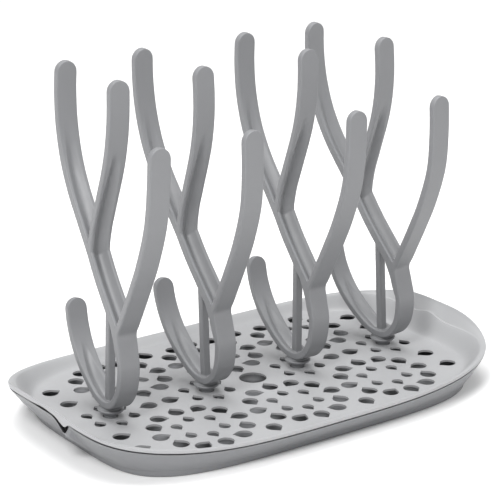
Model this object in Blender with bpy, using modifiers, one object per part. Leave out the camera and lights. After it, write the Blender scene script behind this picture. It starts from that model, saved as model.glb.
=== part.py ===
"""Bottle drying rack: a drip tray, a perforated drain grid and four trees that plug into the grid.

Metres, +Z up. The origin is on the surface the rack stands on, under the middle of the tray.
X runs along the row of trees; each tree spreads its branches along Y.
"""
import bpy
import bmesh
from math import atan2, cos, hypot, pi, radians, sin, sqrt
from mathutils import Matrix

# Driving dimensions
SPACING = 0.072            # between neighbouring trees
TREE_COUNT = 4
GAP = 0.0003               # between pieces that touch

RIM_HALF = (2.17 * SPACING, 1.315 * SPACING)
RIM_POWER = 3.465          # superellipse exponent of the rim outline
BASE_HALF = (1.874 * SPACING, 1.162 * SPACING)
BASE_POWER = 4.5
FLOOR_HALF = (1.868 * SPACING, 1.135 * SPACING)
FLOOR_POWER = 4.0
OUTLINE_POINTS = 120
PATH_STEPS = 3             # sections between two points of a ribbon's centreline

PLATE_MID = 0.0123         # height of the middle of the perforated floor
PLATE_THICK = 0.0014
BELOW_PLATE = 0.0060       # how far the cutters reach
ABOVE_PLATE = 0.0200
BELOW_SOCKET = 0.0010
SIDE_RISE = 0.0051         # rim above the plate at the middle of the long sides
CORNER_RISE = 0.0095       # gained towards the short ends, evenly
CORNER_POWER = 3
CREST_RISE = 0.0062        # gained again close to the middle of a short end
CREST_POWER = 36
RIM_CLEARANCE = 0.0005     # from the grid's flange down to the tray's edge
TRAY_THICK = 0.0020
TRAY_INSET = 0.0006        # tray's edge inside the grid's
TRAY_CHAMFER = (0.0003, 0.0012)  # small and large steps in at the foot of the tray
TRAY_WALL_FOOT = (0.0030, 0.0045)    # height where the wall starts, outside and inside
TRAY_WALL_SAG = 0.45       # share of the climb reached half way out
NOTCH_FROM = -0.005        # a notch in the tray's edge at each short end, along Y
NOTCH_TO = -0.029
NOTCH_SKEW = 3             # its far side is a long ramp and its near side a short one
TRAY_NOTCH = 0.0055
LIP_TAB = 0.0040           # how far the grid's lip hangs down into it

RING_SMALL = 0.197 * SPACING
RING_LARGE = 0.390 * SPACING
ROSETTE_ROW = 0.640 * SPACING
FINGER_HOLE_RADIUS = 0.124 * SPACING
SMALL_HOLE = (0.0094, 0.0074)    # teardrop length and width
LARGE_HOLE = (0.0124, 0.0104)

SOCKET_OUTER = 0.0066
SOCKET_BORE = 0.0048
SOCKET_BOTTOM = 0.0026
SOCKET_FLOOR = 0.0041
SOCKET_DRAIN = 0.0015
STEM_RADIUS = 0.0042             # loose enough in the socket for a tree to lean

NECK_TOP = 0.0100                # inside the loop; heights here are above the middle of the plate
CUP_UNDER = 0.0024
CUP_PROFILE = [(0.0050, NECK_TOP), (0.0050, 0.0078), (0.0066, 0.0075), (0.0066, 0.0064),
               (0.0084, 0.0060), (0.0084, 0.0050), (0.0048, 0.0026)]    # radius and height

RIBBON_WIDTH = 0.0136            # along X
RIBBON_THICK = 0.0043            # in the plane of the tree
TRUNK_THICK = 0.0062             # at its foot, thinning to the ribbon's own at the tip
POST_SIZE = 0.0048               # square
EDGE = 0.0008
TIP_ANGLES = (12, 35, 60, 90)    # where the sections of a rounded tip are
REACH = 0.002                    # along the path, to find its direction

# How the trees stand: the row is a mirror image of itself about the middle of the tray
OUTER_LEAN = radians(2.2)        # end trees, towards the middle
INNER_LEAN = radians(-1.0)       # middle trees, away from it
OUTER_TURN = radians(3.8)

TREE_GREY = (0.275, 0.279, 0.291, 1.0)
GRID_GREY = (0.445, 0.449, 0.458, 1.0)
TRAY_GREY = (0.220, 0.223, 0.233, 1.0)

# Ribbon centrelines in a tree's plane, as (y, z) in millimetres from the middle of the plate
HOOK_AND_FRONT_PRONG = [
    (49, 63), (45, 47), (36, 32), (22, 19.5), (6, 11), (-9, 11.5), (-19, 22), (-22, 38),
    (-19.5, 50), (-17.5, 60), (-22, 69), (-34, 92), (-43.5, 112), (-51.5, 136), (-54, 160),
    (-54, 184)]
TRUNK_AND_BACK_PRONG = [
    (-17.5, 60), (6, 85.5), (19, 102.5), (31.5, 117.5), (45, 134), (55.5, 152), (62, 172),
    (64.5, 192), (64, 211.5)]
MIDDLE_PRONG = [
    (17.5, 98.5), (17.8, 106), (15, 119), (10, 133), (0, 162), (-4, 187), (-3.5, 213)]
POST = [(1, 10), (2, 79)]
GUSSET = [(-11.8, 64.4), (-13.5, 61), (-16.5, 55), (-18.5, 49), (-21, 43)]


def clear_scene():
    for item in list(bpy.data.objects):
        bpy.data.objects.remove(item, do_unlink=True)


def new_collection(name):
    group = bpy.data.collections.new(name)
    bpy.context.scene.collection.children.link(group)
    return group


def make_material(name, colour, roughness):
    material = bpy.data.materials.new(name)
    material.use_nodes = True
    shader = material.node_tree.nodes["Principled BSDF"]
    shader.inputs["Base Color"].default_value = colour
    shader.inputs["Roughness"].default_value = roughness
    shader.inputs["Metallic"].default_value = 0.0
    return material


def mesh_object(name, bm, group):
    bmesh.ops.recalc_face_normals(bm, faces=bm.faces)
    mesh = bpy.data.meshes.new(name)
    bm.to_mesh(mesh)
    bm.free()
    thing = bpy.data.objects.new(name, mesh)
    group.objects.link(thing)
    return thing


def loft(rings):
    """A closed solid through rings of equal point count, with a face on the first and the last."""
    bm = bmesh.new()
    loops = [[bm.verts.new(point) for point in ring] for ring in rings]
    count = len(loops[0])
    for lower, upper in zip(loops[:-1], loops[1:]):
        for i in range(count):
            j = (i + 1) % count
            bm.faces.new((lower[i], lower[j], upper[j], upper[i]))
    bm.faces.new(list(reversed(loops[0])))
    bm.faces.new(loops[-1])
    return bm


def join_modifier(target, other, operation):
    modifier = target.modifiers.new(other.name, "BOOLEAN")
    modifier.operation = operation
    modifier.object = other
    modifier.solver = "EXACT"


def as_cutter(thing):
    thing.hide_render = True
    thing.display_type = "WIRE"


def outline(half, power, inset=0.0):
    points = []
    for i in range(OUTLINE_POINTS):
        angle = 2 * pi * (i + 0.5) / OUTLINE_POINTS
        c, s = cos(angle), sin(angle)
        reach = (abs(c) ** power + abs(s) ** power) ** (-1.0 / power)
        points.append(((half[0] - inset) * c * reach, (half[1] - inset) * s * reach))
    return points


def rise(x):
    """Height of the rim above the plate: low along the sides, with a crest at each short end."""
    along = min(1.0, abs(x) / RIM_HALF[0])
    return SIDE_RISE + CORNER_RISE * along ** CORNER_POWER + CREST_RISE * along ** CREST_POWER


def notch(x, y, depth):
    """Lopsided dip near the middle of each short end."""
    along = (y - NOTCH_FROM) / (NOTCH_TO - NOTCH_FROM)
    if along <= 0.0 or along >= 1.0 or abs(x) < 0.8 * RIM_HALF[0]:
        return 0.0
    return depth * sin(pi * along ** NOTCH_SKEW)


def blend_ring(inner, outer, fraction, height):
    ring = []
    for (ax, ay), (bx, by) in zip(inner, outer):
        x = ax + (bx - ax) * fraction
        y = ay + (by - ay) * fraction
        ring.append((x, y, height(x, y)))
    return ring


def build_tray(group, material):
    small, large = TRAY_CHAMFER
    base = outline(BASE_HALF, BASE_POWER)
    rim = outline(RIM_HALF, RIM_POWER, TRAY_INSET)
    base_in = outline(BASE_HALF, BASE_POWER, TRAY_THICK)
    rim_in = outline(RIM_HALF, RIM_POWER, TRAY_INSET + TRAY_THICK)
    profile = ((0.0, 0.0), (0.5, TRAY_WALL_SAG), (1.0, 1.0))

    def top(x, y):
        return PLATE_MID + rise(x) - PLATE_THICK - RIM_CLEARANCE - notch(x, y, TRAY_NOTCH)

    def wall(inner, outer, fraction, share, floor):
        ring = []
        for (ax, ay), (bx, by) in zip(inner, outer):
            x = ax + (bx - ax) * fraction
            y = ay + (by - ay) * fraction
            ring.append((x, y, floor + (top(bx, by) - floor) * share))
        return ring

    outside, inside = TRAY_WALL_FOOT
    rings = [[(x, y, 0.0) for x, y in outline(BASE_HALF, BASE_POWER, large)]]
    rings += [[(x, y, large) for x, y in outline(BASE_HALF, BASE_POWER, small)]]
    rings += [wall(base, rim, fraction, share, outside) for fraction, share in profile]
    rings += [wall(base_in, rim_in, fraction, share, inside)
              for fraction, share in reversed(profile)]
    rings += [[(x, y, TRAY_THICK) for x, y in outline(BASE_HALF, BASE_POWER,
                                                      large + TRAY_THICK)]]
    tray = mesh_object("drip_tray", loft(rings), group)
    tray.data.materials.append(material)
    return tray


def hole_centres():
    """Drain holes as (x, y, size, tail angle): rosettes round the feet and between them."""
    feet = [((k - (TREE_COUNT - 1) / 2) * SPACING, 0.0) for k in range(TREE_COUNT)]
    rosettes = [(m * SPACING, s * ROSETTE_ROW) for m in (-1, 0, 1) for s in (-1, 1)]
    found = []

    def add(x, y, size, tail):
        if all(hypot(x - other[0], y - other[1]) > 0.07 * SPACING for other in found):
            found.append((x, y, size, tail))

    def tail_at(angle):
        """Tails on the Y axis point outwards; the rest turn in towards the rosette's own axes."""
        c, s = cos(radians(angle)), sin(radians(angle))
        if angle % 180 == 90:
            return atan2(s, 0.0)
        if abs(s) < 0.01:
            return atan2(0.0, -c)
        if abs(s) < 0.6:
            return atan2(-s, 0.0)
        return atan2(-0.5 * s, -c * 1.7)

    for cx, cy in feet + rosettes:
        for angle in range(30, 390, 60):
            x = cx + RING_SMALL * cos(radians(angle))
            y = cy + RING_SMALL * sin(radians(angle))
            add(x, y, SMALL_HOLE, tail_at(angle))
    for cx, cy in rosettes:
        for angle in range(0, 360, 30):
            x = cx + RING_LARGE * cos(radians(angle))
            y = cy + RING_LARGE * sin(radians(angle))
            add(x, y, LARGE_HOLE, tail_at(angle))
    for fx, fy in feet:
        for side in (-1, 1):
            x = fx + side * 0.38 * SPACING
            clear_of_middle = abs(x) > 0.2 * SPACING
            inside = abs(x) < 1.7 * SPACING
            if clear_of_middle and inside:
                add(x, fy, LARGE_HOLE, 0.0 if side < 0 else pi)
    for sx in (-1, 1):
        for sy in (-1, 1):
            add(sx * 0.5 * SPACING, sy * 1.02 * SPACING, LARGE_HOLE, sy * pi / 2)
            for px, py in ((1.65, 0.43), (1.65, 0.74)):
                add(sx * px * SPACING, sy * py * SPACING, LARGE_HOLE, pi if sx > 0 else 0.0)
    return found


def teardrop(x, y, size, tail, points):
    """Round at one end and pointed at the other, centred on its own middle."""
    length, width = size
    radius = width / 2
    back = radius - length / 2
    shape = []
    for i in range(points):
        angle = radians(65) + radians(230) * i / (points - 1)
        shape.append((back + radius * cos(angle), radius * sin(angle)))
    shape.append((length / 2, 0.0))
    c, s = cos(tail), sin(tail)
    return [(x + px * c - py * s, y + px * s + py * c) for px, py in shape]


def cylinders(name, centres, radius, low, high, segments, group):
    """Upright cylinders of one size, as one object."""
    bm = bmesh.new()
    for x, y in centres:
        bmesh.ops.create_cone(
            bm, cap_ends=True, segments=segments, radius1=radius, radius2=radius,
            depth=high - low, matrix=Matrix.Translation((x, y, (low + high) / 2)))
    return mesh_object(name, bm, group)


def mesh_from(source, name, group):
    """The evaluated shape of a curve or a modified object, as a plain welded mesh object."""
    bpy.context.view_layer.update()
    graph = bpy.context.evaluated_depsgraph_get()
    mesh = bpy.data.meshes.new_from_object(source.evaluated_get(graph))
    mesh.transform(source.matrix_world)
    bpy.data.objects.remove(source, do_unlink=True)
    bm = bmesh.new()
    bm.from_mesh(mesh)
    bmesh.ops.remove_doubles(bm, verts=bm.verts, dist=0.00001)
    return mesh_object(name, bm, group)


def punches(name, shapes, low, high, group):
    """Flat outlines extruded upwards, as one object."""
    curve = bpy.data.curves.new(name, "CURVE")
    curve.dimensions = "2D"
    curve.fill_mode = "BOTH"
    curve.extrude = (high - low) / 2
    for shape in shapes:
        spline = curve.splines.new("POLY")
        spline.points.add(len(shape) - 1)
        spline.use_cyclic_u = True
        for point, (x, y) in zip(spline.points, shape):
            point.co = (x, y, 0.0, 1.0)
    outlines = bpy.data.objects.new(name + "_outlines", curve)
    outlines.location.z = (low + high) / 2
    group.objects.link(outlines)
    return mesh_from(outlines, name, group)


def build_grid(group, cutters, material):
    floor = outline(FLOOR_HALF, FLOOR_POWER)
    rim = outline(RIM_HALF, RIM_POWER)

    def skin(fraction, share, lower, tab):
        def height(x, y):
            climb = (rise(x) - PLATE_THICK / 2) * share
            return PLATE_MID + PLATE_THICK / 2 + climb - lower - notch(x, y, tab)
        return blend_ring(floor, rim, fraction, height)

    profile = [(0.0, 0.0), (0.20, 0.10), (0.42, 0.42), (0.62, 0.82), (0.78, 1.0), (1.0, 1.0)]
    rings = [skin(fraction, share, PLATE_THICK, 0.0) for fraction, share in profile[:-1]]
    rings += [skin(1.0, 1.0, PLATE_THICK, LIP_TAB)]
    rings += [skin(fraction, share, 0.0, 0.0) for fraction, share in reversed(profile)]
    grid = mesh_object("drain_grid", loft(rings), group)
    grid.data.materials.append(material)

    feet = [((k - (TREE_COUNT - 1) / 2) * SPACING, 0.0) for k in range(TREE_COUNT)]
    bosses = cylinders("bosses", feet, SOCKET_OUTER, SOCKET_BOTTOM, PLATE_MID, 24, cutters)
    bores = cylinders("bores", feet, SOCKET_BORE, SOCKET_FLOOR, ABOVE_PLATE, 24, cutters)
    drains = cylinders("drains", feet, SOCKET_DRAIN, BELOW_SOCKET, SOCKET_FLOOR + GAP, 8, cutters)
    finger = cylinders("finger_hole", [(0.0, 0.0)], FINGER_HOLE_RADIUS, BELOW_PLATE, ABOVE_PLATE,
                       28, cutters)
    shapes = [teardrop(x, y, size, tail, 7 if size is LARGE_HOLE else 6)
              for x, y, size, tail in hole_centres()]
    holes = punches("drain_holes", shapes, BELOW_PLATE, ABOVE_PLATE, cutters)
    join_modifier(grid, bosses, "UNION")
    for cutter in (bores, drains, finger, holes):
        join_modifier(grid, cutter, "DIFFERENCE")
    for piece in (bosses, bores, finger, holes, drains):
        as_cutter(piece)
    return grid


def smooth_path(points, steps):
    """A Catmull-Rom curve through the points."""
    padded = [points[0]] + list(points) + [points[-1]]
    path = []
    for i in range(1, len(padded) - 2):
        p0, p1, p2, p3 = padded[i - 1:i + 3]
        for step in range(steps):
            t = step / steps
            path.append(tuple(
                0.5 * (2 * p1[a] + (p2[a] - p0[a]) * t
                       + (2 * p0[a] - 5 * p1[a] + 4 * p2[a] - p3[a]) * t * t
                       + (3 * p1[a] - p0[a] - 3 * p2[a] + p3[a]) * t ** 3) for a in (0, 1)))
    path.append(tuple(points[-1]))
    return path


def ribbon(name, points, width, thick_start, thick_end, round_start, round_end, group):
    """A flat band swept along a path in the YZ plane, with rounded tips where asked."""
    path = [(y / 1000, z / 1000) for y, z in smooth_path(points, PATH_STEPS)]
    lengths = [0.0]
    for a, b in zip(path[:-1], path[1:]):
        lengths.append(lengths[-1] + hypot(b[0] - a[0], b[1] - a[1]))
    total = lengths[-1]
    radius = width / 2
    marks = [d for d in lengths if (not round_start or d > radius)
             and (not round_end or d < total - radius)]
    tips = [radius * (1 - cos(radians(angle))) for angle in TIP_ANGLES]
    if round_start:
        marks = tips + marks
    if round_end:
        marks = marks + [total - d for d in reversed(tips)]

    def at(distance):
        for i in range(1, len(lengths)):
            if distance <= lengths[i] or i == len(lengths) - 1:
                share = (distance - lengths[i - 1]) / (lengths[i] - lengths[i - 1])
                a, b = path[i - 1], path[i]
                return a[0] + (b[0] - a[0]) * share, a[1] + (b[1] - a[1]) * share

    rings = []
    for mark in marks:
        y, z = at(mark)
        back, ahead = at(max(0.0, mark - REACH)), at(min(total, mark + REACH))
        dy, dz = ahead[0] - back[0], ahead[1] - back[1]
        size = hypot(dy, dz)
        ny, nz = -dz / size, dy / size
        half = radius
        for near_tip, distance in ((round_start, mark), (round_end, total - mark)):
            if near_tip and distance < radius:
                half = min(half, sqrt(radius ** 2 - (radius - distance) ** 2))
        edge = min(EDGE, half * 0.5)
        deep = (thick_start + (thick_end - thick_start) * mark / total) / 2
        section = [(half, deep - edge), (half - edge, deep), (edge - half, deep),
                   (-half, deep - edge), (-half, edge - deep), (edge - half, -deep),
                   (half - edge, -deep), (half, edge - deep)]
        rings.append([(x, y + ny * n, z + nz * n) for x, n in section])
    return mesh_object(name, loft(rings), group)


def build_plug(group):
    """Neck, stepped cup and stem, turned about the tree's own axis."""
    bottom = SOCKET_FLOOR + GAP - PLATE_MID
    profile = [(0.0, NECK_TOP)] + CUP_PROFILE + [
        (STEM_RADIUS, CUP_UNDER), (STEM_RADIUS, bottom + EDGE),
        (STEM_RADIUS - EDGE, bottom), (0.0, bottom)]
    bm = bmesh.new()
    points = [bm.verts.new((radius, 0.0, z)) for radius, z in profile]
    for upper, lower in zip(points[:-1], points[1:]):
        bm.edges.new((upper, lower))
    mesh = bpy.data.meshes.new("plug_profile")
    bm.to_mesh(mesh)
    bm.free()
    plug = bpy.data.objects.new("plug_profile", mesh)
    group.objects.link(plug)
    screw = plug.modifiers.new("turn", "SCREW")
    screw.axis = "Z"
    screw.steps = 20
    screw.render_steps = 20
    screw.use_merge_vertices = True
    screw.merge_threshold = 0.00001
    return mesh_from(plug, "plug", group)


def build_tree_mesh(cutters):
    loop = ribbon("loop", HOOK_AND_FRONT_PRONG, RIBBON_WIDTH, RIBBON_THICK, RIBBON_THICK,
                  True, True, cutters)
    trunk = ribbon("trunk", TRUNK_AND_BACK_PRONG, RIBBON_WIDTH - GAP, TRUNK_THICK, RIBBON_THICK,
                   False, True, cutters)
    middle = ribbon("middle", MIDDLE_PRONG, RIBBON_WIDTH - 2 * GAP, RIBBON_THICK, RIBBON_THICK,
                    False, True, cutters)
    gusset = ribbon("gusset", GUSSET, RIBBON_WIDTH - 3 * GAP, RIBBON_THICK, RIBBON_THICK,
                    False, False, cutters)
    post = ribbon("post", POST, POST_SIZE, POST_SIZE, POST_SIZE, False, False, cutters)
    plug = build_plug(cutters)
    for piece in (trunk, middle, gusset, post, plug):
        join_modifier(loop, piece, "UNION")
    bpy.context.view_layer.update()
    graph = bpy.context.evaluated_depsgraph_get()
    mesh = bpy.data.meshes.new_from_object(loop.evaluated_get(graph))
    for piece in (loop, trunk, middle, gusset, post, plug):
        bpy.data.objects.remove(piece, do_unlink=True)
    mesh.name = "tree"
    return mesh


def build_trees(group, cutters, material):
    mesh = build_tree_mesh(cutters)
    mesh.materials.clear()
    mesh.materials.append(material)
    for k in range(TREE_COUNT):
        place = k - (TREE_COUNT - 1) / 2
        side = 1 if place > 0 else -1
        outer = abs(place) > 1
        tree = bpy.data.objects.new("tree_%d" % (k + 1), mesh)
        tree.location = (place * SPACING, 0.0, PLATE_MID)
        lean = OUTER_LEAN if outer else INNER_LEAN
        tree.rotation_euler = (0.0, -side * lean, side * OUTER_TURN if outer else 0.0)
        group.objects.link(tree)


def main():
    clear_scene()
    parts = new_collection("bottle_drying_rack")
    cutters = new_collection("cutters")
    build_tray(parts, make_material("tray_grey", TRAY_GREY, 0.45))
    build_grid(parts, cutters, make_material("grid_grey", GRID_GREY, 0.42))
    build_trees(parts, cutters, make_material("tree_grey", TREE_GREY, 0.40))


main()
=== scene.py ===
"""Looks for the bottle drying rack: four grey trees in a pale perforated grid on a darker drip tray."""
import bpy
import bmesh
from math import atan2, cos, exp, hypot, pi, radians, sin, sqrt
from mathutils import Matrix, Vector


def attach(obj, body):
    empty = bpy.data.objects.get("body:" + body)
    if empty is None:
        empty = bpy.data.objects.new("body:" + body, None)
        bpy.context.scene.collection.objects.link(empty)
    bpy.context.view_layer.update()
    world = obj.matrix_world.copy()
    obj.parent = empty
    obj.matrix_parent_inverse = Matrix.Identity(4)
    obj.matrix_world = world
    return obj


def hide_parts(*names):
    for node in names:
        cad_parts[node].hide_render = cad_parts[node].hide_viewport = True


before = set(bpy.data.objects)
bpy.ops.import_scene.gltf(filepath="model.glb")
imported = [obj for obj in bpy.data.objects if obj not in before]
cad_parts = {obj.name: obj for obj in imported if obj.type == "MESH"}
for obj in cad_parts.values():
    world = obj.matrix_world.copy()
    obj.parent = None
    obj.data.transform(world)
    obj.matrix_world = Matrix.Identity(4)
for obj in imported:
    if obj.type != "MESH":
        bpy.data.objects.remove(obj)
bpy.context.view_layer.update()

# ---------------------------------------------------------------- sizes, in metres
SPACING = 0.072                    # between neighbouring trees
FEET = [(k - 1.5) * SPACING for k in range(4)]
PLATE_MID = 0.0123                 # height of the middle of the grid's plate
PLATE_THICK = 0.0014

RIM_HALF = (2.17 * SPACING, 1.315 * SPACING)
RIM_POWER = 3.465
BASE_HALF = (1.874 * SPACING, 1.162 * SPACING)
BASE_POWER = 4.5
FLOOR_HALF = (1.868 * SPACING, 1.135 * SPACING)
FLOOR_POWER = 4.0
OUTLINE_POINTS = 360

SIDE_RISE = 0.0051                 # the rim above the plate: along the sides,
CORNER_RISE = 0.0095               # more of it towards the corners,
CORNER_POWER = 3
CREST_RISE = 0.0062                # and again along the short ends
CREST_POWER = 36

LIP_NARROW = 0.0032                # width of the lip along the long sides
LIP_CORNER = 0.0014                # how much wider it gets towards the corners
LIP_WIDER = 0.0042                 # and again at the crest of a short end
LIP_THICK = 0.0018
LIP_CREASE = 0.0004                # the wall's top lies this far under the lip's edge
LIP_DOME = 0.00035                 # height of the lip's slight dome
LIP_DOME_SPREAD = 1.2
LIP_ROUND = 0.0003                 # rounding of its outer edge
DIP = 0.0027                       # the crest's foot dips either side of the middle of an end
SWELL = 0.0033                     # and swells in the middle
SWELL_HALF = 0.011
LEDGE = 0.0014                     # flat step along the foot of the crest

COVE_START = 0.10                  # shares of the way from plate to rim
COVE_LOW = 0.34
COVE_LOW_POWER = 2.2
COVE_HIGH = 0.66
COVE_HIGH_SPAN = (0.05, 1.05)
WALL_MARKS = [0.0, 0.06, 0.10, 0.14, 0.18, 0.22, 0.27, 0.32, 0.37, 0.42, 0.47, 0.52, 0.57]
WALL_MARKS_END = 0.62
CREASE_MARKS = (0.035, 0.012, 0.0)
LEDGE_MARKS = (0.5, 1.0)
LIP_MARKS = (0.15, 0.4, 0.65, 0.85, 1.0)
THICKER_FROM = 9                   # rings from the edge between which plate turns into lip
THICKER_TO = 2
STEEPEST = 0.9                     # radians, for the underside's offset
UNDER_SHIFT = 0.5                  # how much of that offset goes outwards on a slope
LIP_TURNS = (0.25, 0.5, 0.75)      # steps round the lip's outer edge

TRAY_THICK = 0.0020
TRAY_INSET = 0.0006
RIM_CLEARANCE = 0.0009             # gap between tray and grid at the rim
EDGE_SLOPE = 0.20                  # fall of the tray's edge inwards
CREST_SLOPE = 1.20                 # and how much steeper it is at a crest
TRAY_SAG = 0.05                    # how hollow the tray's wall is
TRAY_STEPS = 14
TRAY_WALL_OUT = 0.0030             # heights where the outer and the inner wall start
TRAY_WALL_IN = 0.0045
TRAY_EDGE_CROWN = 0.0001           # how much the rounded upper edge stands up
TRAY_EDGE_STEPS = (0.3, 0.7)
FOOT_ROUND = 0.0012
FOOT_ANGLES = (15, 40, 65, 90)
FOOT_INSET = 0.0014
TRAY_FILLET = [(0.0018, 0.0006), (0.0040, 0.0)]      # inset and height of the inner corner

NOTCH_FROM = -0.005
NOTCH_TO = -0.029
NOTCH_SKEW = 3
NOTCH_BEYOND = 0.8 * RIM_HALF[0]
TRAY_NOTCH = 0.0066
LIP_TAB = 0.0037

RING_SMALL = 0.197 * SPACING
RING_LARGE = 0.390 * SPACING
ROSETTE_ROW = 0.640 * SPACING
ROW_HOLE = 0.38 * SPACING          # holes in the row of the feet, to each side of a foot
ROW_HOLES_BETWEEN = (0.2 * SPACING, 1.7 * SPACING)
EXTRA_HOLES = [(0.5, 1.02, None), (1.65, 0.43, pi), (1.65, 0.74, pi)]     # x, y in spacings, tail
SAME_HOLE = 0.07 * SPACING
FINGER_HOLE_RADIUS = 0.124 * SPACING
SMALL_HOLE = (0.0094, 0.0074)      # length and width
LARGE_HOLE = (0.0124, 0.0104)
HOLE_ROUND_FROM = 50               # degrees: where a hole's round end starts, and how far it goes
HOLE_ROUND_TURN = 260
HOLE_ROUND_STEPS = 20
HOLE_BLUNT = 0.16                  # how blunt the tail is, in radii of the round end
HOLE_TIP = (0.25, 0.4)             # its two last corners, in shares of that: back and across
TAIL_STEEP = 0.6                   # above this sine a ring's tails turn aslant
TAIL_SLANT = (0.5, 1.7)
HOLE_CUT = (0.0060, 0.0300)        # heights between which the holes are cut
HOLE_EDGE = 0.00035                # rounding of the hole edges
HOLE_EDGE_ANGLE = 62

SOCKET_OUTER = 0.0066
SOCKET_BORE = 0.0048
SOCKET_BOTTOM = 0.0026
SOCKET_FLOOR = 0.0041
BORE_TOP = 0.022
SOCKET_SIDES = 40
FINGER_HOLE_SIDES = 48

RIBBON_WIDTH = 0.0136
RIBBON_THICK = 0.0043
TRUNK_THICK = 0.0062
POST_SIZE = 0.0048
ROUNDING = 0.0008                  # edge radius of the bands
ROUNDING_MOST = (0.6, 0.9)         # its most, in shares of half the width and half the thickness
GROOVE_POWER = 1.4                 # 1 is a straight V, 2 is a round hollow
CORNER_ANGLES = (18, 45, 72)
TIP_ANGLES = (4, 12, 22, 34, 47, 62, 76, 90)
ACROSS = 26                        # steps across a band's face
STEP = 0.0010                      # spacing of sections along a band
CHORD = 0.0015                     # a band's direction is taken over this far each way
CURVE_STEPS = 24
VOXEL = 0.00036
SHRINK = 0.00010                   # what remeshing and smoothing take off each side
TREE_SMOOTHING = 2
TREE_THINNING = 0.4
CREASE_WEIGHT = 60                 # for the shading of the tray and the grid
TRAY_CREASE_ANGLE = 50
GRID_CREASE_ANGLE = 40

OUTER_LEAN = radians(2.2)
INNER_LEAN = radians(-1.0)
OUTER_TURN = radians(3.8)

# Centrelines in a tree's own plane, in millimetres: (y, z) from the middle of the plate
HOOK_AND_FRONT_PRONG = [
    (49, 63), (45, 47), (36, 32), (22, 19.5), (6, 11), (-9, 11.5), (-19, 22), (-22, 38),
    (-19.5, 50), (-17.5, 60), (-22, 69), (-34, 92), (-43.5, 112), (-51.5, 136), (-54, 160),
    (-54, 184)]
TRUNK_AND_BACK_PRONG = [
    (-17.5, 60), (6, 85.5), (19, 102.5), (31.5, 117.5), (45, 134), (55.5, 152), (62, 172),
    (64.5, 192), (64, 211.5)]
MIDDLE_PRONG = [
    (17.5, 98.5), (17.8, 106), (15, 119), (10, 133), (0, 162), (-4, 187), (-3.5, 213)]
GUSSET = [(-11.8, 64.4), (-13.5, 61), (-16.5, 55), (-18.5, 49), (-21, 43)]
POST = [(1, 10), (2, 76)]

# Grooves, by the share along the band: the side, then the width and the depth, each as
# (value, change, from, to), then where the groove fades in and out
HOOK_GROOVE = (-1, (0.0030, 0.0060, 0.09, 0.22), (0.0030, 0.0, 0.0, 1.0), (0.09, 0.20, 0.27, 0.32))
TRUNK_GROOVE = (1, (0.0098, -0.0030, 0.45, 0.80), (0.0046, -0.0018, 0.28, 0.55),
                (-0.2, -0.1, 0.60, 0.80))
MIDDLE_GROOVE = (1, (0.0098, -0.0040, 0.30, 0.66), (0.0034, 0.0, 0.0, 1.0),
                 (-0.2, -0.1, 0.45, 0.66))

# The cup under a tree, with its stem: (radius, height) from the middle of the plate
STEM_BOTTOM = SOCKET_FLOOR + 0.0003 - PLATE_MID
CUP_AND_STEM = [
    (0.0034, STEM_BOTTOM), (0.0042, STEM_BOTTOM + 0.0008), (0.0042, 0.0022), (0.0048, 0.0026),
    (0.0063, 0.0034), (0.0078, 0.0045), (0.0084, 0.0051), (0.0084, 0.0057), (0.0081, 0.0061),
    (0.0069, 0.0063), (0.0066, 0.0066), (0.0066, 0.0072), (0.0062, 0.0076), (0.0052, 0.0077),
    (0.0047, 0.0082), (0.0050, 0.0108)]
CUP_SIDES = 48

# ---------------------------------------------------------------- looks
TREE_LOOK = ((0.208, 0.211, 0.219), 0.42, 0.02, 0.35)     # colour, roughness, mottle, relief
GRID_LOOK = ((0.365, 0.368, 0.376), 0.40, 0.015, 0.30)
TRAY_LOOK = ((0.205, 0.208, 0.217), 0.44, 0.02, 0.35)
PLASTIC_IOR = 1.48
GLOSS_DRIFT = 0.05
MOTTLE_STOPS = (0.30, 0.70)
GRAIN_DEPTH = 0.00004
CLOUD = (22.0, 3.0, 0.5)           # scale, detail and roughness of the noises
SPECKS = (240.0, 2.0, 0.5)
GRAIN = (2600.0, 2.0, 0.6)

FLOOR_REACH = 4
FLOOR_WHITE = 0.93
FLOOR_ROUGHNESS = 0.9
FLOOR_SPECULAR = 0.1
WORLD_STRENGTH = 0.50
LIGHTS_AIM = (0.0, 0.0, 0.09)
LIGHTS = [
    ("key", (-1.25, -0.80, 1.5), 0.8, 28.0),
    ("fill", (1.2, -1.0, 1.7), 0.8, 9.0),
    ("top", (0.1, 0.3, 1.9), 1.6, 30.0)]
CAMERA_AT = (-0.7155, -0.9989, 0.5082)
CAMERA_TURN = (radians(71.62), 0.0, radians(-35.53))
CAMERA_LENS = 147.2
CAMERA_SENSOR = 36.0


# ---------------------------------------------------------------- small helpers
def smoothstep(low, high, value):
    t = min(1.0, max(0.0, (value - low) / (high - low)))
    return t * t * (3 - 2 * t)


def eased(t, base, change, low, high):
    """A value that moves from base by change, between low and high."""
    return base + change * smoothstep(low, high, t)


def fade(t, start, full, end_full, end):
    """Zero, then one between full and end_full, then zero again."""
    return smoothstep(start, full, t) * (1 - smoothstep(end_full, end, t))


def add_object(name, mesh):
    thing = bpy.data.objects.new(name, mesh)
    bpy.context.scene.collection.objects.link(thing)
    return thing


def mesh_from_bmesh(name, bm):
    bmesh.ops.recalc_face_normals(bm, faces=bm.faces)
    mesh = bpy.data.meshes.new(name)
    bm.to_mesh(mesh)
    bm.free()
    return mesh


def loft_into(bm, rings):
    """A closed solid through rings of equally many points."""
    loops = [[bm.verts.new(point) for point in ring] for ring in rings]
    count = len(loops[0])
    for lower, upper in zip(loops[:-1], loops[1:]):
        for i in range(count):
            j = (i + 1) % count
            bm.faces.new((lower[i], lower[j], upper[j], upper[i]))
    bm.faces.new(list(reversed(loops[0])))
    bm.faces.new(loops[-1])


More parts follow.
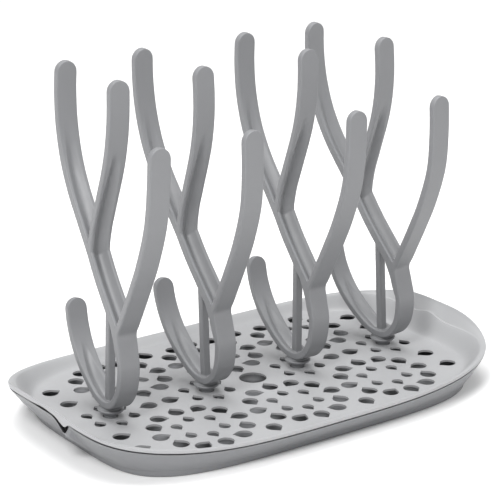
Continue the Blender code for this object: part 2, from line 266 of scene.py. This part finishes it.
def combine(thing, other, operation):
    modifier = thing.modifiers.new(other.name, "BOOLEAN")
    modifier.operation = operation
    modifier.object = other
    modifier.solver = "EXACT"


def baked(thing, name):
    """The object with its modifiers applied, as a new mesh."""
    bpy.context.view_layer.update()
    graph = bpy.context.evaluated_depsgraph_get()
    mesh = bpy.data.meshes.new_from_object(thing.evaluated_get(graph))
    mesh.name = name
    return mesh


def remove(*things):
    for thing in things:
        bpy.data.objects.remove(thing, do_unlink=True)


def level(outline, height):
    return [(x, y, height) for x, y in outline]


def circle(x, y, radius, sides):
    return [(x + radius * cos(2 * pi * i / sides), y + radius * sin(2 * pi * i / sides))
            for i in range(sides)]


def superellipse(half, power, inset=0.0):
    points = []
    for i in range(OUTLINE_POINTS):
        angle = 2 * pi * (i + 0.5) / OUTLINE_POINTS
        c, s = cos(angle), sin(angle)
        reach = (abs(c) ** power + abs(s) ** power) ** (-1.0 / power)
        points.append(((half[0] - inset) * c * reach, (half[1] - inset) * s * reach))
    return points


def outward(point):
    return Vector((point.x, point.y, 0.0)).normalized()


def along(x):
    return min(1.0, abs(x) / RIM_HALF[0])


def crest(x):
    return along(x) ** CREST_POWER


def rise_without_crest(x):
    return SIDE_RISE + CORNER_RISE * along(x) ** CORNER_POWER


def rise(x):
    return rise_without_crest(x) + CREST_RISE * crest(x)


def lip_width(x):
    return LIP_NARROW + LIP_CORNER * along(x) ** CORNER_POWER + LIP_WIDER * crest(x)


def notch(x, y, depth):
    """How far the edge drops at (x, y): a ramp and an abrupt end, at both short ends."""
    share = (y - NOTCH_FROM) / (NOTCH_TO - NOTCH_FROM)
    if share <= 0.0 or share >= 1.0 or abs(x) < NOTCH_BEYOND:
        return 0.0
    return depth * sin(pi * share ** NOTCH_SKEW)


# ---------------------------------------------------------------- drip tray
def build_tray():
    inner_inset = TRAY_INSET + TRAY_THICK
    base_out = superellipse(BASE_HALF, BASE_POWER)
    base_in = superellipse(BASE_HALF, BASE_POWER, TRAY_THICK)
    rim_out = superellipse(RIM_HALF, RIM_POWER, TRAY_INSET)
    rim_in = superellipse(RIM_HALF, RIM_POWER, inner_inset)

    def top(x, y, inset):
        """Follows the underside of the grid's lip, which slopes down inwards at the crests."""
        slope = EDGE_SLOPE + CREST_SLOPE * crest(x)
        return (PLATE_MID + rise(x) - LIP_THICK - RIM_CLEARANCE - inset * slope
                - notch(x, y, TRAY_NOTCH))

    def wall(base, rim, fraction, floor, inset):
        share = fraction - TRAY_SAG * sin(pi * fraction)
        ring = []
        for (ax, ay), (bx, by) in zip(base, rim):
            x = ax + (bx - ax) * fraction
            y = ay + (by - ay) * fraction
            ring.append((x, y, floor + (top(bx, by, inset) - floor) * share))
        return ring

    steps = [i / TRAY_STEPS for i in range(TRAY_STEPS + 1)]
    rings = [level(superellipse(BASE_HALF, BASE_POWER, FOOT_INSET), 0.0)]
    for angle in FOOT_ANGLES:
        a = radians(angle)
        outline = superellipse(BASE_HALF, BASE_POWER, FOOT_ROUND * (1 - sin(a)))
        rings.append(level(outline, FOOT_ROUND * (1 - cos(a))))
    rings += [wall(base_out, rim_out, f, TRAY_WALL_OUT, TRAY_INSET) for f in steps[1:]]
    inside = [wall(base_in, rim_in, f, TRAY_WALL_IN, inner_inset) for f in reversed(steps)]
    edge_pairs = list(zip(rings[-1], inside[0]))
    for part in TRAY_EDGE_STEPS:
        rings.append([(ax + (bx - ax) * part, ay + (by - ay) * part,
                       az + (bz - az) * part + TRAY_EDGE_CROWN)
                      for (ax, ay, az), (bx, by, bz) in edge_pairs])
    rings += inside
    for inset, height in TRAY_FILLET:
        outline = superellipse(BASE_HALF, BASE_POWER, TRAY_THICK + inset)
        rings.append(level(outline, TRAY_THICK + height))
    bm = bmesh.new()
    loft_into(bm, rings)
    return mesh_from_bmesh("tray_shell", bm)


# ---------------------------------------------------------------- drain grid
def tail_at(angle):
    """Which way a hole's tail points, from the hole's place on its ring in degrees."""
    c, s = cos(radians(angle)), sin(radians(angle))
    if angle % 180 == 90:
        return atan2(s, 0.0)
    if abs(s) < 0.01:
        return atan2(0.0, -c)
    if abs(s) < TAIL_STEEP:
        return atan2(-s, 0.0)
    return atan2(-TAIL_SLANT[0] * s, -c * TAIL_SLANT[1])


def hole_centres():
    """Every teardrop hole as (x, y, size, tail): rings round the feet and rosettes, and extras."""
    feet = [(x, 0.0) for x in FEET]
    rosettes = [(m * SPACING, s * ROSETTE_ROW) for m in (-1, 0, 1) for s in (-1, 1)]
    found = []

    def add(x, y, size, tail):
        if all(hypot(x - other[0], y - other[1]) > SAME_HOLE for other in found):
            found.append((x, y, size, tail))

    for centres, radius, size, first, step in ((feet + rosettes, RING_SMALL, SMALL_HOLE, 30, 60),
                                               (rosettes, RING_LARGE, LARGE_HOLE, 0, 30)):
        for cx, cy in centres:
            for angle in range(first, first + 360, step):
                x = cx + radius * cos(radians(angle))
                y = cy + radius * sin(radians(angle))
                add(x, y, size, tail_at(angle))
    for fx, fy in feet:
        for side in (-1, 1):
            x = fx + side * ROW_HOLE
            if ROW_HOLES_BETWEEN[0] < abs(x) < ROW_HOLES_BETWEEN[1]:
                add(x, fy, LARGE_HOLE, 0.0 if side < 0 else pi)
    for sx in (-1, 1):
        for sy in (-1, 1):
            for px, py, inward in EXTRA_HOLES:
                tail = sy * pi / 2 if inward is None else (inward if sx > 0 else 0.0)
                add(sx * px * SPACING, sy * py * SPACING, LARGE_HOLE, tail)
    return found


def teardrop(x, y, size, tail):
    """Round at one end, drawn out to a soft point at the other."""
    length, width = size
    radius = width / 2
    back = radius - length / 2
    tip = length / 2
    shape = []
    for i in range(HOLE_ROUND_STEPS + 1):
        angle = radians(HOLE_ROUND_FROM) + radians(HOLE_ROUND_TURN) * i / HOLE_ROUND_STEPS
        shape.append((back + radius * cos(angle), radius * sin(angle)))
    blunt = HOLE_BLUNT * radius
    back_off, aside = HOLE_TIP[0] * blunt, HOLE_TIP[1] * blunt
    shape += [(tip - blunt, -blunt), (tip - back_off, -aside),
              (tip - back_off, aside), (tip - blunt, blunt)]
    c, s = cos(tail), sin(tail)
    return [(x + px * c - py * s, y + px * s + py * c) for px, py in shape]


def grid_columns():
    """The upper skin from the plate's edge out to the lip, one column for each outline point."""
    floor = superellipse(FLOOR_HALF, FLOOR_POWER)
    rim = superellipse(RIM_HALF, RIM_POWER)

    def surface(i, fraction):
        """A point of the upper skin: plate, cove, wall, crease, lip and its rounded outer edge."""
        (ax, ay), (bx, by) = floor[i], rim[i]
        width = hypot(bx - ax, by - ay)
        x, y = ax + (bx - ax) * fraction, ay + (by - ay) * fraction
        lip = lip_width(bx) / width
        inner = 1.0 - lip                            # where the wall meets the lip
        swell = exp(-(by / SWELL_HALF) ** 2)
        inner_height = rise_without_crest(bx) - LIP_CREASE + (SWELL * swell - DIP) * crest(bx)
        if fraction >= inner:
            t = (fraction - inner) / lip
            ledge = LEDGE * crest(bx) / (lip * width)
            climb = max(0.0, t - ledge) / (1.0 - ledge)
            high = inner_height + (rise(bx) - inner_height) * climb
            high += LIP_DOME * sin(pi * min(1.0, t * LIP_DOME_SPREAD)) * (1 - crest(bx))
        else:
            t = max(0.0, (fraction - COVE_START) / (inner - COVE_START))
            cove = COVE_LOW * t ** COVE_LOW_POWER + COVE_HIGH * smoothstep(*COVE_HIGH_SPAN, t)
            high = PLATE_THICK / 2 + (inner_height - PLATE_THICK / 2) * cove
        return Vector((x, y, PLATE_MID + high))

    def column(i):
        (ax, ay), (bx, by) = floor[i], rim[i]
        width = hypot(bx - ax, by - ay)
        inner = 1.0 - lip_width(bx) / width
        step = LEDGE / width
        marks = [f * inner / WALL_MARKS_END for f in WALL_MARKS]
        marks += [inner - before for before in CREASE_MARKS]
        marks += [inner + step * s for s in LEDGE_MARKS]
        marks += [inner + step + (1 - inner - step) * s for s in LIP_MARKS]
        return [surface(i, f) for f in marks]

    return [column(i) for i in range(OUTLINE_POINTS)]


def under_point(column, k):
    """The point of the underside below the column's k-th one, offset along the skin's slope."""
    last = len(column) - 1
    here, before, after = column[k], column[max(0, k - 1)], column[min(last, k + 1)]
    run = hypot(after.x - before.x, after.y - before.y)
    slope = atan2(after.z - before.z, run)
    tilt = min(slope, STEEPEST)
    lip_share = smoothstep(last + 1 - THICKER_FROM, last + 1 - THICKER_TO, k)
    thick = PLATE_THICK + (LIP_THICK - PLATE_THICK) * lip_share
    shift = thick * sin(tilt) * UNDER_SHIFT if 0 < k < last else 0.0
    point = here + outward(here) * shift
    point.z -= PLATE_THICK if k == 0 else thick / cos(tilt) - shift * sin(slope)
    return point


def drawn_in(ring, tab):
    """A ring of the rim, drawn in by the lip's rounding and pulled down by the tab."""
    moved = []
    for corner in ring:
        point = corner - outward(corner) * LIP_ROUND
        point.z -= notch(point.x, point.y, tab)
        moved.append(point)
    return moved


def build_grid():
    columns = grid_columns()
    depth = len(columns[0])
    upper = [[column[k] for column in columns] for k in range(depth)]
    lower = [[under_point(column, k) for column in columns] for k in range(depth)]
    edge = []
    for turn in LIP_TURNS:                # the lip's rounded edge, and the tab that hangs from it
        ring = []
        for a, b in zip(upper[-1], lower[-1]):
            point = a.lerp(b, turn) + outward(a) * (LIP_ROUND * sin(pi * turn) - LIP_ROUND)
            point.z -= notch(a.x, a.y, LIP_TAB) * turn
            ring.append(point)
        edge.append(ring)
    lower[-1] = drawn_in(lower[-1], LIP_TAB)
    upper[-1] = drawn_in(upper[-1], 0.0)
    bm = bmesh.new()
    loft_into(bm, lower + list(reversed(edge)) + list(reversed(upper)))
    grid = add_object("grid_shell", mesh_from_bmesh("grid_shell", bm))

    def cutter(name, shapes, low, high):
        bm = bmesh.new()
        for shape in shapes:
            loft_into(bm, [level(shape, low), level(shape, high)])
        return add_object(name, mesh_from_bmesh(name, bm))

    bosses = cutter("bosses", [circle(x, 0, SOCKET_OUTER, SOCKET_SIDES) for x in FEET],
                    SOCKET_BOTTOM, PLATE_MID)
    bores = cutter("bores", [circle(x, 0, SOCKET_BORE, SOCKET_SIDES) for x in FEET],
                   SOCKET_FLOOR, BORE_TOP)
    shapes = [teardrop(*hole) for hole in hole_centres()]
    shapes.append(circle(0.0, 0.0, FINGER_HOLE_RADIUS, FINGER_HOLE_SIDES))
    holes = cutter("holes", shapes, *HOLE_CUT)
    combine(grid, bosses, "UNION")
    combine(grid, bores, "DIFFERENCE")
    combine(grid, holes, "DIFFERENCE")
    bevel = grid.modifiers.new("hole_edges", "BEVEL")
    bevel.width = HOLE_EDGE
    bevel.segments = 2
    bevel.limit_method = "ANGLE"
    bevel.angle_limit = radians(HOLE_EDGE_ANGLE)
    mesh = baked(grid, "drain_grid_detailed")
    remove(grid, bosses, bores, holes)
    return mesh


# ---------------------------------------------------------------- trees
def dense_path(points):
    """Catmull-Rom curve through points in millimetres, as metres, with the length up to each."""
    padded = [points[0]] + list(points) + [points[-1]]
    fine = []
    for i in range(1, len(padded) - 2):
        p0, p1, p2, p3 = padded[i - 1:i + 3]
        for step in range(CURVE_STEPS):
            t = step / CURVE_STEPS
            fine.append(tuple(
                0.0005 * (2 * p1[a] + (p2[a] - p0[a]) * t
                          + (2 * p0[a] - 5 * p1[a] + 4 * p2[a] - p3[a]) * t * t
                          + (3 * p1[a] - p0[a] - 3 * p2[a] + p3[a]) * t ** 3) for a in (0, 1)))
    fine.append((points[-1][0] / 1000, points[-1][1] / 1000))
    lengths = [0.0]
    for a, b in zip(fine[:-1], fine[1:]):
        lengths.append(lengths[-1] + hypot(b[0] - a[0], b[1] - a[1]))
    return fine, lengths


def place_on(fine, lengths, distance):
    if distance <= 0:
        return fine[0]
    for i in range(1, len(lengths)):
        if distance <= lengths[i]:
            t = (distance - lengths[i - 1]) / max(1e-9, lengths[i] - lengths[i - 1])
            a, b = fine[i - 1], fine[i]
            return a[0] + (b[0] - a[0]) * t, a[1] + (b[1] - a[1]) * t
    return fine[-1]


def rounded_section(half, deep, groove, share):
    """Outline of a band's section: two long faces, one perhaps grooved, and rounded corners."""
    r = min(ROUNDING, half * ROUNDING_MOST[0], deep * ROUNDING_MOST[1])
    flat = half - r
    core = deep - r
    across = [flat * (1 - 2 * i / ACROSS) for i in range(ACROSS + 1)]
    corner = [(flat + r * sin(radians(a)), core + r * cos(radians(a))) for a in CORNER_ANGLES]

    def face(side, x):
        if groove is None or groove[0] != side:
            return deep
        w = eased(share, *groove[1]) / 2
        if abs(x) >= w:
            return deep
        depth = eased(share, *groove[2]) * fade(share, *groove[3])
        return deep - depth * (1 - (abs(x) / w) ** GROOVE_POWER)

    section = []
    for side in (1, -1):
        section += [(x, side * face(side, x)) for x in across[::side]]
        section += [(-side * x, side * n) for x, n in corner]
        section += [(-side * half, side * core), (-side * half, -side * core)]
        section += [(-side * x, -side * n) for x, n in reversed(corner)]
    return section


def band(bm, points, width, thick, round_start, round_end, groove=None):
    """A band swept in the YZ plane, with its thickness running from thick[0] to thick[1]."""
    fine, lengths = dense_path(points)
    total = lengths[-1]
    radius = width / 2 + SHRINK
    tips = [radius * (1 - cos(radians(a))) for a in TIP_ANGLES]
    count = int(total / STEP)
    marks = [total * i / count for i in range(count + 1)]
    if round_start:
        marks = tips + [d for d in marks if d > radius]
    if round_end:
        marks = [d for d in marks if d < total - radius] + [total - d for d in reversed(tips)]
    rings = []
    for mark in marks:
        y, z = place_on(fine, lengths, mark)
        b, a = place_on(fine, lengths, mark - CHORD), place_on(fine, lengths, mark + CHORD)
        size = hypot(a[0] - b[0], a[1] - b[1])
        ny, nz = -(a[1] - b[1]) / size, (a[0] - b[0]) / size
        half = radius
        for near_tip, distance in ((round_start, mark), (round_end, total - mark)):
            if near_tip and distance < radius:
                half = min(half, sqrt(max(1e-8, radius ** 2 - (radius - distance) ** 2)))
        share = mark / total
        deep = (thick[0] + (thick[1] - thick[0]) * share) / 2 + SHRINK
        section = rounded_section(half, deep, groove, share)
        rings.append([(x, y + ny * n, z + nz * n) for x, n in section])
    loft_into(bm, rings)


def turned(bm, profile):
    """A solid turned about Z from (radius, height) pairs listed upwards."""
    loft_into(bm, [level(circle(0.0, 0.0, r, CUP_SIDES), z) for r, z in profile])


def build_tree_mesh():
    pieces = []

    def piece(name, make, *details):
        bm = bmesh.new()
        make(bm, *details)
        pieces.append(add_object(name, mesh_from_bmesh(name, bm)))

    even = (RIBBON_THICK, RIBBON_THICK)
    piece("loop", band, HOOK_AND_FRONT_PRONG, RIBBON_WIDTH, even, True, True, HOOK_GROOVE)
    piece("trunk", band, TRUNK_AND_BACK_PRONG, RIBBON_WIDTH, (TRUNK_THICK, RIBBON_THICK),
          False, True, TRUNK_GROOVE)
    piece("middle", band, MIDDLE_PRONG, RIBBON_WIDTH, even, False, True, MIDDLE_GROOVE)
    piece("gusset", band, GUSSET, RIBBON_WIDTH, even, False, False)
    piece("post", band, POST, POST_SIZE, (POST_SIZE, POST_SIZE), False, False)
    piece("plug", turned, CUP_AND_STEM)
    whole = pieces[0]
    for other in pieces[1:]:
        combine(whole, other, "UNION")
    remesh = whole.modifiers.new("remesh", "REMESH")
    remesh.mode = "VOXEL"
    remesh.voxel_size = VOXEL
    remesh.use_smooth_shade = True
    smooth = whole.modifiers.new("soften", "SMOOTH")
    smooth.factor = 0.5
    smooth.iterations = TREE_SMOOTHING
    thin = whole.modifiers.new("thin_out", "DECIMATE")
    thin.ratio = TREE_THINNING
    mesh = baked(whole, "tree_detailed")
    remove(*pieces)
    return mesh


# ---------------------------------------------------------------- materials
def plastic(name, look):
    """Satin moulded plastic: slight colour drift, fine moulded grain and uneven gloss."""
    colour, roughness, mottle, bump = look
    material = bpy.data.materials.new(name)
    material.use_nodes = True
    nodes, links = material.node_tree.nodes, material.node_tree.links
    shader = nodes["Principled BSDF"]
    shader.inputs["IOR"].default_value = PLASTIC_IOR
    place = nodes.new("ShaderNodeTexCoord")

    def noise(scale, detail, rough):
        node = nodes.new("ShaderNodeTexNoise")
        node.inputs["Scale"].default_value = scale
        node.inputs["Detail"].default_value = detail
        node.inputs["Roughness"].default_value = rough
        links.new(place.outputs["Object"], node.inputs["Vector"])
        return node

    ramp = nodes.new("ShaderNodeValToRGB")
    for stop, position, factor in zip(ramp.color_ramp.elements, MOTTLE_STOPS,
                                      (1 - mottle, 1 + mottle)):
        stop.position = position
        stop.color = [c * factor for c in colour] + [1.0]
    links.new(noise(*CLOUD).outputs["Fac"], ramp.inputs["Fac"])
    links.new(ramp.outputs["Color"], shader.inputs["Base Color"])

    gloss = nodes.new("ShaderNodeMapRange")
    gloss.inputs["To Min"].default_value = roughness - GLOSS_DRIFT
    gloss.inputs["To Max"].default_value = roughness + GLOSS_DRIFT
    links.new(noise(*SPECKS).outputs["Fac"], gloss.inputs["Value"])
    links.new(gloss.outputs["Result"], shader.inputs["Roughness"])

    relief = nodes.new("ShaderNodeBump")
    relief.inputs["Strength"].default_value = bump
    relief.inputs["Distance"].default_value = GRAIN_DEPTH
    links.new(noise(*GRAIN).outputs["Fac"], relief.inputs["Height"])
    links.new(relief.outputs["Normal"], shader.inputs["Normal"])
    return material


def finished(mesh, material):
    """The mesh shaded smooth, in its one material."""
    for polygon in mesh.polygons:
        polygon.use_smooth = True
    mesh.materials.clear()
    mesh.materials.append(material)
    return mesh


def add_piece(name, mesh, node, body, location=(0.0, 0.0, 0.0), turn=(0.0, 0.0, 0.0)):
    thing = add_object(name, mesh)
    thing.location = location
    thing.rotation_euler = turn
    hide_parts(node)
    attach(thing, body)
    return thing


def flatten_shading(thing, angle):
    """Hard creases stay hard and flat faces shade flat."""
    weighted = thing.modifiers.new("weighted", "WEIGHTED_NORMAL")
    weighted.keep_sharp = True
    weighted.weight = CREASE_WEIGHT
    thing.data.set_sharp_from_angle(angle=radians(angle))


tray_mesh = finished(build_tray(), plastic("tray_plastic", TRAY_LOOK))
grid_mesh = finished(build_grid(), plastic("grid_plastic", GRID_LOOK))
tree_mesh = finished(build_tree_mesh(), plastic("tree_plastic", TREE_LOOK))
tray = add_piece("tray_moulding", tray_mesh, "drip_tray", "tray")
flatten_shading(tray, TRAY_CREASE_ANGLE)
grid = add_piece("grid_moulding", grid_mesh, "drain_grid", "grid")
flatten_shading(grid, GRID_CREASE_ANGLE)
for k, foot_x in enumerate(FEET):
    side = 1 if foot_x > 0 else -1
    outer = abs(foot_x) > SPACING
    turn = (0.0, -side * (OUTER_LEAN if outer else INNER_LEAN), side * OUTER_TURN if outer else 0.0)
    body = "tree_%d" % (k + 1)
    add_piece("tree_moulding_%d" % (k + 1), tree_mesh, body, body,
              (foot_x, 0.0, PLATE_MID), turn)


# ---------------------------------------------------------------- floor, light and camera
def build_floor():
    bm = bmesh.new()
    for sx, sy in ((-1, -1), (1, -1), (1, 1), (-1, 1)):
        bm.verts.new((sx * FLOOR_REACH, sy * FLOOR_REACH, 0.0))
    bm.verts.ensure_lookup_table()
    bm.faces.new(bm.verts)
    floor = add_object("floor", mesh_from_bmesh("floor", bm))
    material = bpy.data.materials.new("floor_white")
    material.use_nodes = True
    shader = material.node_tree.nodes["Principled BSDF"]
    shader.inputs["Base Color"].default_value = (FLOOR_WHITE, FLOOR_WHITE, FLOOR_WHITE, 1.0)
    shader.inputs["Roughness"].default_value = FLOOR_ROUGHNESS
    shader.inputs["Specular IOR Level"].default_value = FLOOR_SPECULAR
    floor.data.materials.append(material)


def area_light(name, location, size, power):
    lamp = bpy.data.lights.new(name, "AREA")
    lamp.shape = "DISK"
    lamp.size = size
    lamp.energy = power
    thing = add_object(name, lamp)
    thing.location = location
    aim = Vector(LIGHTS_AIM) - Vector(location)
    thing.rotation_euler = aim.to_track_quat("-Z", "Y").to_euler()


build_floor()
for light in LIGHTS:
    area_light(*light)

world = bpy.data.worlds.new("studio")
world.use_nodes = True
background = world.node_tree.nodes["Background"]
background.inputs["Color"].default_value = (1.0, 1.0, 1.0, 1.0)
background.inputs["Strength"].default_value = WORLD_STRENGTH
bpy.context.scene.world = world
bpy.context.scene.view_settings.view_transform = "Standard"

camera_data = bpy.data.cameras.new("camera")
camera_data.sensor_width = CAMERA_SENSOR
camera_data.lens = CAMERA_LENS
camera = add_object("camera", camera_data)
camera.location = CAMERA_AT
camera.rotation_euler = CAMERA_TURN
bpy.context.scene.camera = camera
